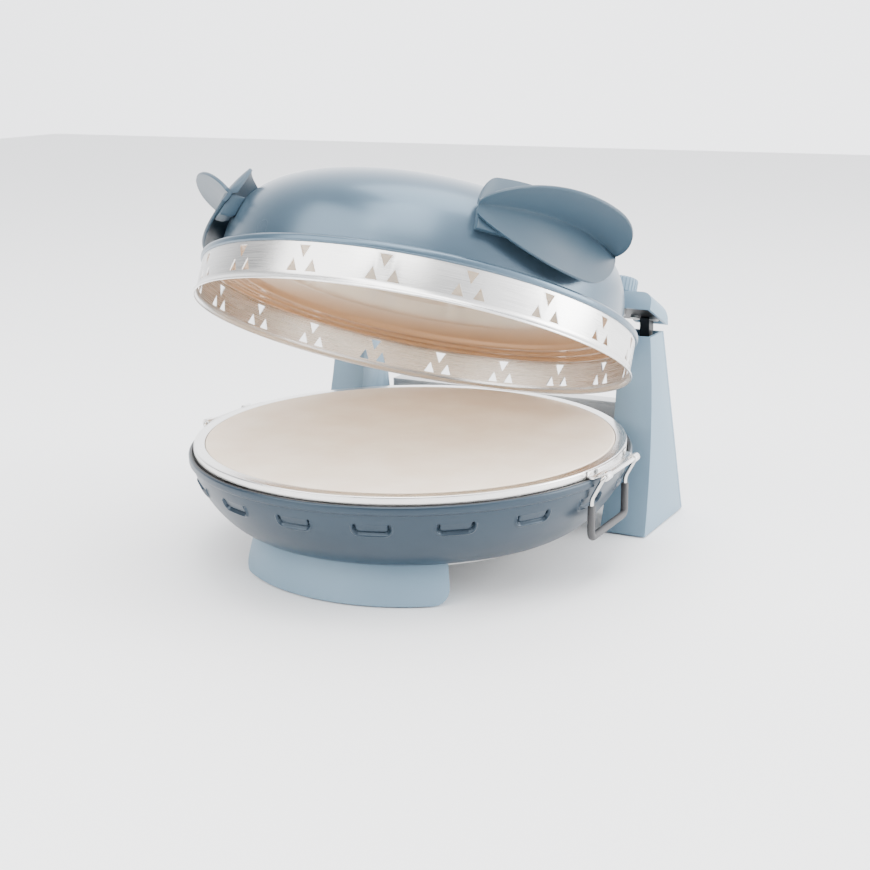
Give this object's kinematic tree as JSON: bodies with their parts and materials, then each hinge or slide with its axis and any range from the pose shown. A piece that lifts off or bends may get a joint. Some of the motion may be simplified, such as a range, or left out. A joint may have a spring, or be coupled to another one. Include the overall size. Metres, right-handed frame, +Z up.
{
  "type": "electric pizza maker",
  "caption": "Countertop pizza maker: a round stone in a bowl-shaped base under a domed lid that tips up on two rear columns, with wing handles and tray bails.",
  "frame": {"origin": "on the table, under the centre of the bowl", "axes": "+X to the object's right seen from the front, +Y to the back where the hinge is, +Z up"},
  "size_m": [0.3576, 0.3595, 0.3],
  "materials": {
    "blue_grey_enamel": "satin metallic blue-grey paint on pressed steel",
    "blue_grey_plastic": "fine-grained matt moulding, a little lighter than the paint",
    "brushed_steel": "brushed stainless steel",
    "polished_wire": "bright drawn wire and pins",
    "zinc": "zinc-plated steel",
    "black_enamel": "heat-proof black enamel",
    "reflector_coat": "cream ceramic coating on pressed steel",
    "stone": "cream cordierite, unglazed",
    "steatite": "fired ceramic insulator",
    "element_sheath": "oxidised nickel-steel sheath",
    "sleeve_grey": "dark grey heat-proof sleeve",
    "pale_grey_plastic": "light grey matt moulding",
    "black_plastic": "black moulding",
    "rubber": "black rubber",
    "bush_bronze": "sintered bronze bush"
  },
  "bodies": {
    "base": {"base_bowl": "blue_grey_enamel", "lower_pan": "black_enamel", "lower_element": "element_sheath", "element_clips": "zinc", "element_insulators": "steatite", "thermal_cutout": "steatite", "bowl_screws": "zinc", "chassis_plate": "zinc", "front_foot": "blue_grey_plastic", "foot_pads": "rubber", "left_column": "blue_grey_plastic", "right_column": "blue_grey_plastic", "left_rear_cover": "blue_grey_plastic", "right_rear_cover": "blue_grey_plastic", "hinge_pins": "polished_wire", "rear_housing": "pale_grey_plastic", "housing_front": "pale_grey_plastic", "power_inlet": "black_plastic", "inlet_pins": "polished_wire", "terminal_block": "steatite", "column_screws": "zinc", "foot_screws": "zinc", "cover_screws": "zinc", "tray_ring": "brushed_steel", "pizza_stone": "stone", "left_bracket": "brushed_steel", "right_bracket": "brushed_steel", "tray_rivets": "zinc"},
    "lid": {"lid_dome": "blue_grey_enamel", "lid_flange": "blue_grey_enamel", "vent_band": "brushed_steel", "lid_reflector": "reflector_coat", "upper_element": "element_sheath", "upper_clips": "zinc", "upper_insulators": "steatite", "left_wing": "blue_grey_plastic", "right_wing": "blue_grey_plastic", "left_wing_lugs": "blue_grey_plastic", "right_wing_lugs": "blue_grey_plastic", "wing_screws": "zinc", "left_arm": "black_enamel", "right_arm": "black_enamel", "hinge_bushes": "bush_bronze", "left_hinge_cover": "blue_grey_plastic", "right_hinge_cover": "blue_grey_plastic", "arm_screws": "zinc", "thermostat": "zinc"},
    "left_bail_body": {"left_bail": "polished_wire", "left_sleeve": "sleeve_grey"},
    "right_bail_body": {"right_bail": "polished_wire", "right_sleeve": "sleeve_grey"},
    "knob": {"control_knob": "blue_grey_plastic", "knob_spindle": "polished_wire"}
  },
  "joints": [
    {"name": "lid_hinge", "type": "hinge", "parent": "base", "child": "lid", "pos_m": [0, 0.158, 0.12], "axis": [-1, 0, 0], "range_deg": [-25, 8]},
    {"name": "left_bail_hinge", "type": "hinge", "parent": "base", "child": "left_bail_body", "pos_m": [-0.1735, 0, 0.0873], "axis": [0, 1, 0], "range_deg": [0, 95]},
    {"name": "right_bail_hinge", "type": "hinge", "parent": "base", "child": "right_bail_body", "pos_m": [0.1735, 0, 0.0873], "axis": [0, -1, 0], "range_deg": [0, 95]},
    {"name": "knob_turn", "type": "hinge", "parent": "lid", "child": "knob", "pos_m": [0.1165, 0.13911, 0.18804], "axis": [0, 0.4163, 0.9092], "range_deg": [0, 270]}
  ]
}
